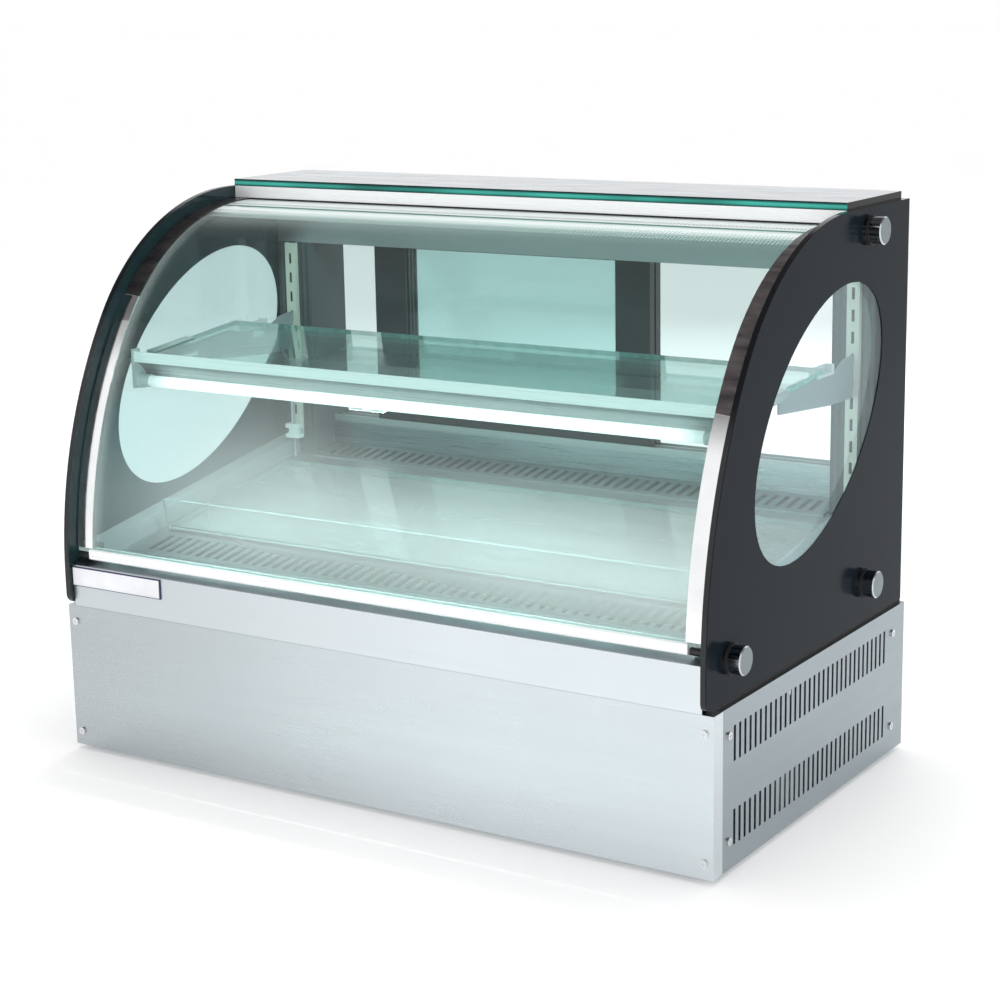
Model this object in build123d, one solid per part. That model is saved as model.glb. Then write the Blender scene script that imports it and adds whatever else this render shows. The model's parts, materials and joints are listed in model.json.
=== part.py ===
from build123d import *
import math
import os

# Countertop refrigerated display showcase, millimetres.
# X to the customer's right, Y to the back, Z up. The origin is on the floor, under the centre.

# ---------------------------------------------------------------- driving dimensions
CABINET_WIDTH = 900
BASE_DEPTH = 510
FOOT_HEIGHT = 6
BASE_TOP = 188
SHEET = 1.5                      # folded stainless sheet
HALF_W = CABINET_WIDTH / 2
HALF_D = BASE_DEPTH / 2

# side glass panels
SIDE_OUTER = 445                 # |X| of the outer face
SIDE_INNER = 438
PRINT_SKIN = 1                   # printed border layer on the outer face
SIDE_BOTTOM = 192
SIDE_TOP = 679
SIDE_REAR = 253
SIDE_NOSE_RADIUS = 12

# side outline: a tight upper arc runs tangent into a wide lower arc, centres as (Y, Z)
UPPER_CENTRE = (81, 379)
UPPER_RADIUS = 300
LOWER_CENTRE = (311, 230)
LOWER_RADIUS = UPPER_RADIUS + math.dist(UPPER_CENTRE, LOWER_CENTRE)
TANGENT_ANGLE = math.degrees(
    math.atan2(UPPER_CENTRE[1] - LOWER_CENTRE[1], UPPER_CENTRE[0] - LOWER_CENTRE[0])
)

# oval window in the printed border
OVAL_CENTRE = (14, 453.5)
OVAL_HALF_LENGTH = 189
OVAL_HALF_HEIGHT = 115
OVAL_TILT = 36.5

# stand-off fixings that clamp the side glass, positions as (Y, Z)
STANDOFFS = [(135, 653.6), (135, 239.7), (-211.4, 239.5)]
STUD_RADIUS = 4
STUD_HOLE_RADIUS = 4.2
STUD_DEPTH = 13                  # of each stud in the tub wall or the top panel's cheek
WASHER_INNER = 448               # |X| where the washer, then the cap, begins, and where the cap ends
CAP_INNER = 451
CAP_OUTER = 465.5

# curved front glass, tilting forward on pins in its bottom rail
GLASS_INSET = 17                 # from the side outline to the glass's outer face
GLASS_THICK = 6
GLASS_HALF_W = 436.3
GLASS_BACK_END = 88.5            # Y of the top edge
GLASS_BOTTOM = 257
STRIP_WIDTH = 24
STRIP_THICK = 1.6
PIVOT = (-242.5, 251.5)          # (Y, Z) of the tilt axis
PIN_RADIUS = 2.5
PIN_CLEARANCE = 0.05
RAIL_HALF_W = 416

# insulated tub and sloping deck
TUB_HALF_W = 437
FLOOR_TOP = 214
DECK_SLOPE = 0.16                # rise to the back
DECK_ORIGIN = (-110, 262)        # (Y, Z) of the deck frame's own origin
DECK_HALF_W = 411
DECK_SHEET = 2
SLOT_COUNT = 51
SLOT_PITCH = 15
SLOT_WIDTH = 7

# rear frame and sliding doors
OPENING_HALF_W = 383
POST_FRONT = 177
TRACK_FRONT = 219
TRACK_WALL = 2
TRACK_RIB_TOP = 355              # of the bottom track's ribs
SILL_TOP = 346
HEADER_BOTTOM = 597
TOP_TRACK_BASE = 616
TOP_TRACK_TIP = 603
DOOR_WIDTH = 423
DOOR_THICK = 12
DOOR_BOTTOM = 349
DOOR_TOP = 608
STILE = 50
DOOR_RAIL = 18
PANE_TONGUE = 7                  # pane edge held in the door frame
PANE_THICK = 5
PANE_PLAY = 0.2
DOOR_REST_LEFT = -309            # X of both doors' left edges, as displayed
INNER_DOOR_Y = 223
OUTER_DOOR_Y = 239

# shelf, tilted a little towards the front
SHELF_SLOPE = 0.0955
SHELF_ORIGIN = (-43, 494)        # (Y, Z) on the glass's top face
SHELF_FRONT = -148
SHELF_BACK = 62
SHELF_THICK = 6
SHELF_HALF_W = 424
BRACKET_X = 412
BRACKET_THICK = 2.5
LIGHT_HALF_W = 404
TUBE_HALF_W = 386
TUBE_CENTRE = (-151, 459)        # (Y, Z)
TUBE_RADIUS = 7

# top
TOP_PLATE_FRONT = 90.5
TOP_PLATE_BACK = 246
TOP_PLATE_HALF_W = 437.4
TOP_PLATE_THICK = 9
CEILING = 666                    # underside of the ceiling panel


# ---------------------------------------------------------------- helpers
def block(x0, x1, y0, y1, z0, z1):
    """Box given by its six faces."""
    centre = Pos((x0 + x1) / 2, (y0 + y1) / 2, (z0 + z1) / 2)
    return centre * Box(x1 - x0, y1 - y0, z1 - z0)


def rod_x(x0, x1, y, z, radius):
    """Round bar along X."""
    return Pos((x0 + x1) / 2, y, z) * Rot(0, 90, 0) * Cylinder(radius, abs(x1 - x0))


def rod_y(x, y0, y1, z, radius):
    """Round bar along Y."""
    return Pos(x, (y0 + y1) / 2, z) * Rot(90, 0, 0) * Cylinder(radius, abs(y1 - y0))


def rod_z(x, y, z0, z1, radius):
    """Round bar along Z."""
    return Pos(x, y, (z0 + z1) / 2) * Cylinder(radius, abs(z1 - z0))


def side_sweep(edges, x0, x1):
    """Solid of constant section along X, from edges drawn in (Y, Z)."""
    section = Plane.YZ.offset(x0) * make_face(edges)
    return extrude(section, amount=x1 - x0)


def side_polygon(points, x0, x1):
    """Solid of constant polygonal section along X."""
    return side_sweep(Polyline(*points, close=True).edges(), x0, x1)


def mirrored(shape):
    """The same piece on the other side of the cabinet."""
    return mirror(shape, about=Plane.YZ)


def pair(shape):
    """A left and right pair of separate solids."""
    return [shape, mirrored(shape)]


def deck_point(y):
    """Height of the sloping deck at Y."""
    return DECK_ORIGIN[1] + DECK_SLOPE * (y - DECK_ORIGIN[0])


def on_slope(shape, origin, slope):
    """Move a piece from its own level frame to a slope through origin."""
    return Pos(0, origin[0], origin[1]) * Rot(math.degrees(math.atan(slope)), 0, 0) * shape


def on_deck(shape):
    return on_slope(shape, DECK_ORIGIN, DECK_SLOPE)


def on_shelf(shape):
    return on_slope(shape, SHELF_ORIGIN, SHELF_SLOPE)


def arc_pair(inset, low_z):
    """The two tangent arcs of the side outline, moved inwards, down to low_z."""
    low_radius = LOWER_RADIUS - inset
    low_angle = 180 - math.degrees(math.asin((low_z - LOWER_CENTRE[1]) / low_radius))
    upper = CenterArc(UPPER_CENTRE, UPPER_RADIUS - inset, 90, TANGENT_ANGLE - 90)
    lower = CenterArc(LOWER_CENTRE, low_radius, TANGENT_ANGLE, low_angle - TANGENT_ANGLE)
    return upper, lower


def glass_strip(inset, thick, back_end, low_z, x0, x1):
    """Curved sheet that follows the side outline at an inset."""
    outer_up, outer_low = arc_pair(inset, low_z)
    inner_up, inner_low = arc_pair(inset + thick, low_z)
    edges = [
        Line((back_end, (outer_up @ 0).Y), outer_up @ 0),
        outer_up,
        outer_low,
        Line(outer_low @ 1, inner_low @ 1),
        inner_low,
        inner_up,
        Line(inner_up @ 0, (back_end, (inner_up @ 0).Y)),
        Line((back_end, (inner_up @ 0).Y), (back_end, (outer_up @ 0).Y)),
    ]
    return side_sweep(edges, x0, x1)


def side_outline(x0, x1):
    """Full side panel: two arcs, straight nose, rounded toe, straight back and bottom."""
    upper, lower = arc_pair(0, LOWER_CENTRE[1])
    nose = lower @ 1
    toe_z = SIDE_BOTTOM + SIDE_NOSE_RADIUS
    toe = CenterArc((nose.X + SIDE_NOSE_RADIUS, toe_z), SIDE_NOSE_RADIUS, 180, 90)
    edges = [
        Line((SIDE_REAR, SIDE_TOP), upper @ 0),
        upper,
        lower,
        Line(nose, toe @ 0),
        toe,
        Line(toe @ 1, (SIDE_REAR, SIDE_BOTTOM)),
        Line((SIDE_REAR, SIDE_BOTTOM), (SIDE_REAR, SIDE_TOP)),
    ]
    return side_sweep(edges, x0, x1)


# ---------------------------------------------------------------- base box
PAN_Z = FOOT_HEIGHT
FLANGE = 21                      # side return of the front panel
VENT_ROWS = (31, 125)            # lower Z of each slot row
VENT_SLOT_HEIGHT = 40
VENT_SLOT_WIDTH = 5
VENT_PITCH = 12.5
VENT_COUNT = 33
SCREW_HEAD_RADIUS = 4.5


def base_pan():
    """Shallow pressed tray that carries the machinery."""
    outer = block(-HALF_W + 2, HALF_W - 2, -HALF_D + 2, HALF_D - 2, PAN_Z, PAN_Z + 20)
    inner = block(-HALF_W + 4, HALF_W - 4, -HALF_D + 4, HALF_D - 4, PAN_Z + 2, PAN_Z + 21)
    return outer - inner


def feet():
    """Four round rubber feet, tapered to the floor."""
    places = [(x, y) for x in (-HALF_W + 40, HALF_W - 40) for y in (-HALF_D + 40, HALF_D - 40)]
    return [Pos(x, y, FOOT_HEIGHT / 2) * Cone(17, 20, FOOT_HEIGHT) for x, y in places]


def front_panel():
    """Front sheet wrapped round both corners and over the top by a narrow flange."""
    outer = block(-HALF_W, HALF_W, -HALF_D, -HALF_D + FLANGE, PAN_Z, BASE_TOP)
    inner = block(-HALF_W + SHEET, HALF_W - SHEET, -HALF_D + SHEET, 0, 0, BASE_TOP - SHEET)
    return outer - inner


def side_vent_panel():
    """Right side sheet: two rows of upright slots and a top ledge for the side glass."""
    sheet = block(HALF_W - 2, HALF_W - 0.6, -HALF_D + FLANGE + 0.8, HALF_D, PAN_Z, BASE_TOP)
    for low in VENT_ROWS:
        for i in range(VENT_COUNT):
            y = (i - (VENT_COUNT - 1) / 2) * VENT_PITCH - 5
            half = VENT_SLOT_WIDTH / 2
            slot = block(HALF_W - 4, HALF_W + 1, y - half, y + half, low, low + VENT_SLOT_HEIGHT)
            sheet -= slot
    ledge_front = -HALF_D + FLANGE + 0.8
    ledge = block(TUB_HALF_W, HALF_W - 0.6, ledge_front, HALF_D - 2, BASE_TOP - SHEET, BASE_TOP)
    return sheet + ledge


def rear_base_panel():
    """Rear sheet with an exhaust slot field, the control cut-out and the cable hole."""
    panel = block(-HALF_W + 2.2, HALF_W - 2.2, HALF_D - SHEET, HALF_D, PAN_Z, BASE_TOP)
    for i in range(20):
        x = 60 + i * VENT_PITCH
        panel -= block(x, x + VENT_SLOT_WIDTH, HALF_D - 5, HALF_D + 1, 45, 135)
    panel -= block(-302, -158, HALF_D - 5, HALF_D + 1, 88, 152)
    panel -= rod_y(GLAND_X, HALF_D - 5, HALF_D + 1, GLAND_Z, GLAND_BODY_RADIUS)
    return panel


GLAND_X = -380
GLAND_Z = 60
GLAND_BODY_RADIUS = 9
GLAND_BORE_RADIUS = 4
GLAND_BACK = 262


def cable_gland():
    """Flanged grommet with an open bore for the mains lead."""
    body = rod_y(GLAND_X, HALF_D - 12, HALF_D, GLAND_Z, GLAND_BODY_RADIUS)
    collar = rod_y(GLAND_X, HALF_D, GLAND_BACK, GLAND_Z, GLAND_BODY_RADIUS + 3)
    return body + collar - rod_y(GLAND_X, HALF_D - 13, GLAND_BACK + 1, GLAND_Z, GLAND_BORE_RADIUS)


def screw(x, y, z, direction):
    """Raised cross-head screw head, flat back on the sheet, facing direction."""
    head = Cylinder(SCREW_HEAD_RADIUS, 2) - Pos(0, 0, 1) * Box(5, 1.2, 1.2) - Pos(0, 0, 1) * Box(1.2, 5, 1.2)
    turns = {"-Y": Rot(90, 0, 0), "+Y": Rot(-90, 0, 0), "+X": Rot(0, 90, 0), "-X": Rot(0, -90, 0)}
    shifts = {"-Y": (0, -1, 0), "+Y": (0, 1, 0), "+X": (1, 0, 0), "-X": (-1, 0, 0)}
    dx, dy, dz = shifts[direction]
    return Pos(x + dx, y + dy, z + dz) * turns[direction] * head


def panel_screws():
    """Screws of the front, side and rear panels."""
    screws = []
    for x in (-HALF_W + 11, HALF_W - 11):
        for z in (24, 167.5):
            screws.append(screw(x, -HALF_D, z, "-Y"))
            screws.append(screw(x, HALF_D, z, "+Y"))
    for y in (-219, 219):
        for z in (38.5, 157):
            screws.append(screw(HALF_W - 0.6, y, z, "+X"))
            screws.append(screw(-HALF_W + 0.6, y, z, "-X"))
    return screws


# ---------------------------------------------------------------- fascia and tub
def fascia():
    """Sloping steel ledge under the front glass, then an upright band."""
    points = [
        (-236.5, 243.6), (-257, 241), (-257, 189), (-255.5, 189), (-255.5, 239.7), (-236.5, 242.1),
    ]
    return side_polygon(points, -TUB_HALF_W, TUB_HALF_W)


def nameplate():
    """Blank plate at the left end of the fascia."""
    plate = block(-436.5, -295.5, -258.4, -257, 215, 239.5)
    rim = block(-434, -298, -259, -258, 217.5, 237)
    return plate - rim


def insulated_floor():
    """Foam-filled floor between the machine space and the cold space."""
    floor = block(-TUB_HALF_W, TUB_HALF_W, -234.5, 218, BASE_TOP, FLOOR_TOP)
    return floor - rod_z(-300, 100, BASE_TOP - 1, FLOOR_TOP + 1, 12)


def front_curb():
    """Foam-filled front wall of the tub."""
    return block(-TUB_HALF_W, TUB_HALF_W, -234, -226, FLOOR_TOP, 242)


TUB_SIDE_INNER = 412


def tub_side():
    """Right wall of the tub; its top follows the deck slope and carries two stud sockets."""
    front, back = -225.5, POST_FRONT - 0.5
    lift = 22
    points = [
        (front, FLOOR_TOP),
        (back, FLOOR_TOP),
        (back, deck_point(back) + lift),
        (front, deck_point(front) + lift),
    ]
    wall = side_polygon(points, TUB_SIDE_INNER, TUB_HALF_W)
    for y, z in STANDOFFS[1:]:
        wall -= rod_x(TUB_HALF_W - STUD_DEPTH - 1.2, TUB_HALF_W + 1, y, z, STUD_HOLE_RADIUS)
    return wall


def rear_sill():
    """Rear wall of the tub below the sliding doors."""
    sill = block(-TUB_HALF_W, TUB_HALF_W, TRACK_FRONT, HALF_D - 2, BASE_TOP, SILL_TOP)
    post_room = block(OPENING_HALF_W, TUB_HALF_W + 1, TRACK_FRONT - 1, HALF_D, FLOOR_TOP, SILL_TOP + 1)
    sill = sill - post_room - mirrored(post_room)
    for low in (322, 336):
        sill -= block(-TUB_HALF_W, TUB_HALF_W, TRACK_FRONT - 1, TRACK_FRONT + 1.5, low, low + 2)
    return sill


# ---------------------------------------------------------------- sloping deck
FRONT_GRILLE = (-84, -20)        # along the slope
REAR_GRILLE = (278, 331)
TRAY = (-6, 243)


def deck_frame():
    """Steel deck with openings below the two grilles and the glass tray."""
    plate = block(-DECK_HALF_W, DECK_HALF_W, -115, 332.2, -DECK_SHEET, 0)
    for low, high, half in (
        (FRONT_GRILLE[0] + 5, FRONT_GRILLE[1] - 5, 392),
        (TRAY[0] + 8, TRAY[1] - 8, 388),
        (REAR_GRILLE[0] + 5, REAR_GRILLE[1] - 5, 374),
    ):
        plate -= block(-half, half, low, high, -5, 5)
    post_room = block(OPENING_HALF_W - 2, DECK_HALF_W + 1, 288.5, 340, -5, 5)
    plate = plate - post_room - mirrored(post_room)
    return on_deck(plate)


def grille(limits, half_width):
    """Loose grille plate with slots that run front to back."""
    low, high = limits
    plate = block(-half_width, half_width, low, high, 0, 2)
    cutters = []
    for i in range(SLOT_COUNT):
        x = (i - (SLOT_COUNT - 1) / 2) * SLOT_PITCH
        if abs(x) < half_width - 12:
            cutters.append(block(x - SLOT_WIDTH / 2, x + SLOT_WIDTH / 2, low + 9, high - 9, -1, 3))
    return on_deck(plate - cutters)


def deck_grilles():
    """Front air-return grille and rear air-supply grille."""
    return [grille(FRONT_GRILLE, 398), grille(REAR_GRILLE, 381)]


def deck_glass():
    """Glass display tray that lies on the deck."""
    return on_deck(block(-398, 398, TRAY[0], TRAY[1], 0, 5))


def stop_rail():
    """Clear acrylic strip that keeps goods off the front grille, on a small foot."""
    upright = block(-396, 396, -14, -11, 0, 44)
    foot = block(-396, 396, -11, -6.5, 0, 3)
    return on_deck(upright + foot)


# ---------------------------------------------------------------- side glass
def oval(x0, x1):
    """Tilted oval prism through the right side panel."""
    shape = Ellipse(OVAL_HALF_LENGTH, OVAL_HALF_HEIGHT)
    section = Plane.YZ.offset(x0) * Pos(*OVAL_CENTRE) * Rot(0, 0, OVAL_TILT) * shape
    return extrude(section, amount=x1 - x0)


def stud_holes(x0, x1):
    return [rod_x(x0, x1, y, z, STUD_HOLE_RADIUS) for y, z in STANDOFFS]


def side_glass():
    """Right clear pane with three stud holes."""
    return side_outline(SIDE_INNER, SIDE_OUTER - PRINT_SKIN) - stud_holes(SIDE_INNER - 1, SIDE_OUTER)


def side_border():
    """Right printed border layer with its clear oval."""
    skin = side_outline(SIDE_OUTER - PRINT_SKIN, SIDE_OUTER)
    return skin - oval(SIDE_INNER, SIDE_OUTER + 5) - stud_holes(SIDE_INNER, SIDE_OUTER + 1)


def glass_seals():
    """Black strips: below both side panes and behind the front glass's top edge."""
    foot = block(SIDE_INNER + 0.5, SIDE_OUTER - 0.5, -250, SIDE_REAR, BASE_TOP, SIDE_BOTTOM)
    top = block(-GLASS_HALF_W, GLASS_HALF_W, GLASS_BACK_END + 0.8, 94, 655, 664)
    return pair(foot) + [top]


def at_standoffs(inner, outer, radius, bore=0, chamfer_size=0):
    """One round piece at each of the six fixings, from |X| inner to outer."""
    pieces = []
    for y, z in STANDOFFS:
        piece = rod_x(inner, outer, y, z, radius)
        if chamfer_size:
            piece = chamfer(piece.edges().group_by(Axis.X)[-1], chamfer_size)
        if bore:
            piece -= rod_x(inner - 1, outer + 1, y, z, bore)
        pieces += pair(piece)
    return pieces


def standoff_bases():
    return at_standoffs(SIDE_OUTER, WASHER_INNER, 15.5, bore=STUD_HOLE_RADIUS)


def standoff_washers():
    return at_standoffs(WASHER_INNER, CAP_INNER, 17.5, bore=STUD_HOLE_RADIUS)


def standoff_caps():
    """Round caps, chamfered, with a blind hole for the stud."""
    caps = at_standoffs(CAP_INNER, CAP_OUTER, 16, chamfer_size=1.2)
    sockets = at_standoffs(CAP_INNER - 1, CAP_OUTER - 5.8, STUD_HOLE_RADIUS)
    return [cap - socket for cap, socket in zip(caps, sockets)]


def standoff_studs():
    return at_standoffs(TUB_HALF_W - STUD_DEPTH, CAP_OUTER - 6, STUD_RADIUS)


# ---------------------------------------------------------------- front glass
def front_glass():
    """Curved pane; its bottom edge sits in the rail's groove."""
    return glass_strip(GLASS_INSET, GLASS_THICK, GLASS_BACK_END, GLASS_BOTTOM, -GLASS_HALF_W, GLASS_HALF_W)


def front_glass_strips():
    """Polished strips bonded along both ends of the pane."""
    strip = glass_strip(
        GLASS_INSET - STRIP_THICK, STRIP_THICK, GLASS_BACK_END, 262, GLASS_HALF_W - STRIP_WIDTH, GLASS_HALF_W
    )
    return pair(strip)


def front_glass_rail():
    """Grooved bottom rail with a press-fit pivot pin at each end."""
    y, z = PIVOT
    body = block(-RAIL_HALF_W, RAIL_HALF_W, y - 7, y + 7, z - 3.5, z + 9.5)
    body = fillet(body.edges().filter_by(Axis.X).group_by(Axis.Y)[0], 2)
    groove = block(-RAIL_HALF_W - 1, RAIL_HALF_W + 1, y - 3.2, y + 3.8, z + 4, z + 10)
    pin = rod_x(RAIL_HALF_W - 20, TUB_HALF_W - 3, y, z, PIN_RADIUS)
    bore = rod_x(RAIL_HALF_W - 20, RAIL_HALF_W + 1, y, z, PIN_RADIUS)
    return [body - groove - bore - mirrored(bore)] + pair(pin)


def hinge_blocks():
    """Black nose blocks that carry the pivot pins."""
    y, z = PIVOT
    x0, x1 = RAIL_HALF_W + 1, TUB_HALF_W
    nose = rod_x(x0, x1, y, z, 4.5)
    arm = block(x0, x1, y, -234, z - 4.5, z)
    bore = rod_x(x0 - 1, x1 - 2, y, z, PIN_RADIUS + PIN_CLEARANCE)
    return pair(nose + arm - bore)


# ---------------------------------------------------------------- top
def top_front_profile():
    """Pale profile under the front edge of the top plate."""
    return block(-TUB_HALF_W, TUB_HALF_W, TOP_PLATE_FRONT, 94, 664, SIDE_TOP)


def top_panel():
    """Ceiling panel with side cheeks that hold the upper studs."""
    panel = block(-TUB_HALF_W, TUB_HALF_W, 94, SIDE_REAR, CEILING, SIDE_TOP)
    cheek = block(416, TUB_HALF_W, 95, POST_FRONT, 636, CEILING)
    y, z = STANDOFFS[0]
    cheek -= rod_x(TUB_HALF_W - STUD_DEPTH - 1.2, TUB_HALF_W + 1, y, z, STUD_HOLE_RADIUS)
    return panel + cheek + mirrored(cheek)


def top_glass():
    """Flat top plate."""
    half, top = TOP_PLATE_HALF_W, SIDE_TOP + TOP_PLATE_THICK
    return block(-half, half, TOP_PLATE_FRONT, TOP_PLATE_BACK, SIDE_TOP, top)


def ceiling_lamp_housing():
    """Shallow lamp tray under the ceiling panel."""
    points = [
        (108, CEILING), (156, CEILING), (160, 648), (154, 648),
        (152, 660), (112, 660), (110, 648), (104, 648),
    ]
    return side_polygon(points, -400, 400)


def ceiling_lamp_diffuser():
    """Opal cover of the ceiling lamp."""
    points = [(111, 649), (153, 649), (151, 643), (113, 643)]
    return side_polygon(points, -399, 399)


# ---------------------------------------------------------------- rear frame and doors
def rear_posts():
    """Uprights at both sides of the opening; the doors close against them."""
    return pair(block(OPENING_HALF_W, TUB_HALF_W, POST_FRONT, HALF_D - 2, FLOOR_TOP, HEADER_BOTTOM))


def rear_header():
    """Cross member above the doors, rebated for the top track."""
    bar = block(-TUB_HALF_W, TUB_HALF_W, POST_FRONT, SIDE_REAR, HEADER_BOTTOM, CEILING)
    half, back = OPENING_HALF_W, SIDE_REAR + 1
    return bar - block(-half, half, TRACK_FRONT, back, HEADER_BOTTOM - 1, TOP_TRACK_BASE)


def track_section(base_z, tip_z):
    """Base strip with three ribs, between base_z and tip_z."""
    direction = 1 if tip_z > base_z else -1
    low, high = sorted((base_z, base_z + direction * TRACK_WALL))
    half = OPENING_HALF_W - 0.5
    track = block(-half, half, TRACK_FRONT + 0.5, HALF_D - 2, low, high)
    rib_low, rib_high = sorted((base_z, tip_z))
    for y0, y1 in ((219.5, 222), (236, 238), (252, 253)):
        track += block(-half, half, y0, y1, rib_low, rib_high)
    return track


def door_tracks():
    """Bottom and top tracks, two lanes each."""
    return [track_section(SILL_TOP, TRACK_RIB_TOP), track_section(TOP_TRACK_BASE, TOP_TRACK_TIP)]


def door_frame(front_y):
    """Two stiles with finger grooves and two rails, grooved for the pane."""
    y0, y1 = front_y, front_y + DOOR_THICK
    left, right = DOOR_REST_LEFT, DOOR_REST_LEFT + DOOR_WIDTH
    mid = (y0 + y1) / 2
    half = PANE_THICK / 2 + PANE_PLAY
    tongue = PANE_TONGUE + 1
    pane_room = block(
        left + STILE - tongue, right - STILE + tongue, mid - half, mid + half,
        DOOR_BOTTOM + DOOR_RAIL - tongue, DOOR_TOP - DOOR_RAIL + tongue,
    )
    pieces = []
    for x0, x1 in ((left, left + STILE), (right - STILE, right)):
        stile = block(x0, x1, y0, y1, DOOR_BOTTOM, DOOR_TOP)
        centre = (x0 + x1) / 2
        grip = block(centre - 6, centre + 6, y1 - 3, y1 + 1, 430, 540)
        pieces.append(stile - pane_room - grip)
    for z0, z1 in ((DOOR_BOTTOM, DOOR_BOTTOM + DOOR_RAIL), (DOOR_TOP - DOOR_RAIL, DOOR_TOP)):
        pieces.append(block(left + STILE, right - STILE, y0, y1, z0, z1) - pane_room)
    return pieces


def door_pane(front_y):
    """Double pane held in the door frame's groove."""
    mid, half = front_y + DOOR_THICK / 2, PANE_THICK / 2
    inset = STILE - PANE_TONGUE
    left, right = DOOR_REST_LEFT + inset, DOOR_REST_LEFT + DOOR_WIDTH - inset
    low, high = DOOR_BOTTOM + DOOR_RAIL - PANE_TONGUE, DOOR_TOP - DOOR_RAIL + PANE_TONGUE
    return block(left, right, mid - half, mid + half, low, high)


# ---------------------------------------------------------------- shelf and its light
STANDARD_WIDTH = 16
STANDARD_FRONT = 170
STANDARD_TOP_SLOT = 568
SLOT_STEP = 26
SLOT_HEIGHT = 14


def shelf_standards():
    """Slotted channels screwed to the front of the posts."""
    x0, x1 = BRACKET_X - STANDARD_WIDTH / 2, BRACKET_X + STANDARD_WIDTH / 2
    y0 = STANDARD_FRONT
    channel = block(x0, x1, y0, POST_FRONT, 331, 596)
    channel -= block(x0 + SHEET, x1 - SHEET, y0 + SHEET, POST_FRONT + 1, 330, 597)
    for i in range(10):
        low = STANDARD_TOP_SLOT - i * SLOT_STEP
        channel -= block(BRACKET_X - 2, BRACKET_X + 2, y0 - 1, y0 + 3, low, low + SLOT_HEIGHT)
    return pair(channel)


def shelf_underside(y):
    """Height just under the tilted shelf glass at Y."""
    return SHELF_ORIGIN[1] + SHELF_SLOPE * (y - SHELF_ORIGIN[0]) - SHELF_THICK * 1.0046


def shelf_brackets():
    """Steel arms: slim under the front of the glass, deep at the back, hooked into the standards."""
    tip, step, seat, root = -134, -29, 35, STANDARD_FRONT - 0.3
    points = [
        (tip, shelf_underside(tip)),
        (seat, shelf_underside(seat)),
        (60, 490),
        (118, 489),
        (142, 500),
        (root, 503),
        (root, 452),
        (107, 453),
        (step, 465),
        (step, 478),
        (tip, 470),
    ]
    x0, x1 = BRACKET_X - BRACKET_THICK / 2, BRACKET_X + BRACKET_THICK / 2
    arm = side_polygon(points, x0, x1)
    for slot in (3, 4):
        low = STANDARD_TOP_SLOT - slot * SLOT_STEP + 1.5
        arm += block(x0, x1, root - 0.2, STANDARD_FRONT + 5, low, low + 10)
    return pair(arm)


def shelf_glass():
    """Glass shelf, tilted a little towards the front."""
    along = math.hypot(1, SHELF_SLOPE)
    front = (SHELF_FRONT - SHELF_ORIGIN[0]) * along
    back = (SHELF_BACK - SHELF_ORIGIN[0]) * along
    return on_shelf(block(-SHELF_HALF_W, SHELF_HALF_W, front, back, -SHELF_THICK, 0))


def shelf_light_bar():
    """Aluminium section: ribbed front fence, ledge for the glass, concave reflector behind the tube."""
    corners = [
        (-161, 483), (-161, 496), (-158.8, 496), (-158.8, 485.6), (-149, 479.8), (-149, 477.2),
        (-136, 478.4), (-134, 478.4), (-134, 455), (-138.5, 455),
    ]
    reflector = ThreePointArc(corners[-1], (-145.5, 473), corners[0])
    section = [Line(a, b) for a, b in zip(corners, corners[1:])] + [reflector]
    bar = side_sweep(section, -LIGHT_HALF_W, LIGHT_HALF_W)
    for rib_z in (485, 488, 491, 494):
        bar -= block(-LIGHT_HALF_W - 1, LIGHT_HALF_W + 1, -162, -160.3, rib_z, rib_z + 1.2)
    return bar


def shelf_light_tube():
    """Lamp tube."""
    return rod_x(-TUBE_HALF_W, TUBE_HALF_W, *TUBE_CENTRE, TUBE_RADIUS)


def shelf_fittings():
    """Plastic pieces of the shelf: lamp holders, end plates, rear glass clips and two tube guards."""
    holder = rod_x(TUBE_HALF_W + 0.5, LIGHT_HALF_W, *TUBE_CENTRE, TUBE_RADIUS + 1)
    outline = [(-163, 450), (-134, 447), (-134, 476), (-150, 476), (-150, 499), (-163, 499)]
    plate = side_polygon(outline, LIGHT_HALF_W, LIGHT_HALF_W + 3)
    clip = block(BRACKET_X - 6, BRACKET_X + 5, 63, 108, 490.3, 502)
    clip -= block(BRACKET_X - 3, BRACKET_X + 6, 72, 103, 493, 503)
    lug = block(BRACKET_X - 6, BRACKET_X - BRACKET_THICK / 2 - 0.2, 78, 98, 480, 490.3)
    pieces = pair(holder) + pair(plate) + pair(clip + lug)
    for x in (-76, -47):
        guard = block(x - 10, x + 10, -134, -132.5, 448, 470) + block(x - 8, x + 8, -146, -134, 448, 449.5)
        pieces.append(guard)
    return pieces


LEAD_RADIUS = 1.6
LEAD_X = -405
CONNECTOR_Y = 157


def lead_connector():
    """White two-part plug on the shelf light's lead."""
    upper = block(LEAD_X - 11, LEAD_X + 11, CONNECTOR_Y - 6, CONNECTOR_Y + 6, 344, 350)
    waist = block(LEAD_X - 7, LEAD_X + 7, CONNECTOR_Y - 4, CONNECTOR_Y + 4, 336, 344)
    lower = block(LEAD_X - 11, LEAD_X + 11, CONNECTOR_Y - 6, CONNECTOR_Y + 6, 331, 336)
    return upper + waist + lower - rod_z(LEAD_X, CONNECTOR_Y, 330, 352, LEAD_RADIUS + 0.1)


def shelf_light_lead():
    """Thin lead from the light's end plate, under the shelf and down the standard into the deck."""
    points = [
        (-405.5, -133.9, 470), (-405.5, -60, 472), (-405.5, 60, 470), (LEAD_X, 130, 462),
        (LEAD_X, CONNECTOR_Y, 430), (LEAD_X, CONNECTOR_Y + 0.01, deck_point(CONNECTOR_Y) + 0.4),
    ]
    route = FilletPolyline(*points, radius=20)
    return sweep(Plane(origin=route @ 0, z_dir=route % 0) * Circle(LEAD_RADIUS), path=route)


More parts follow.
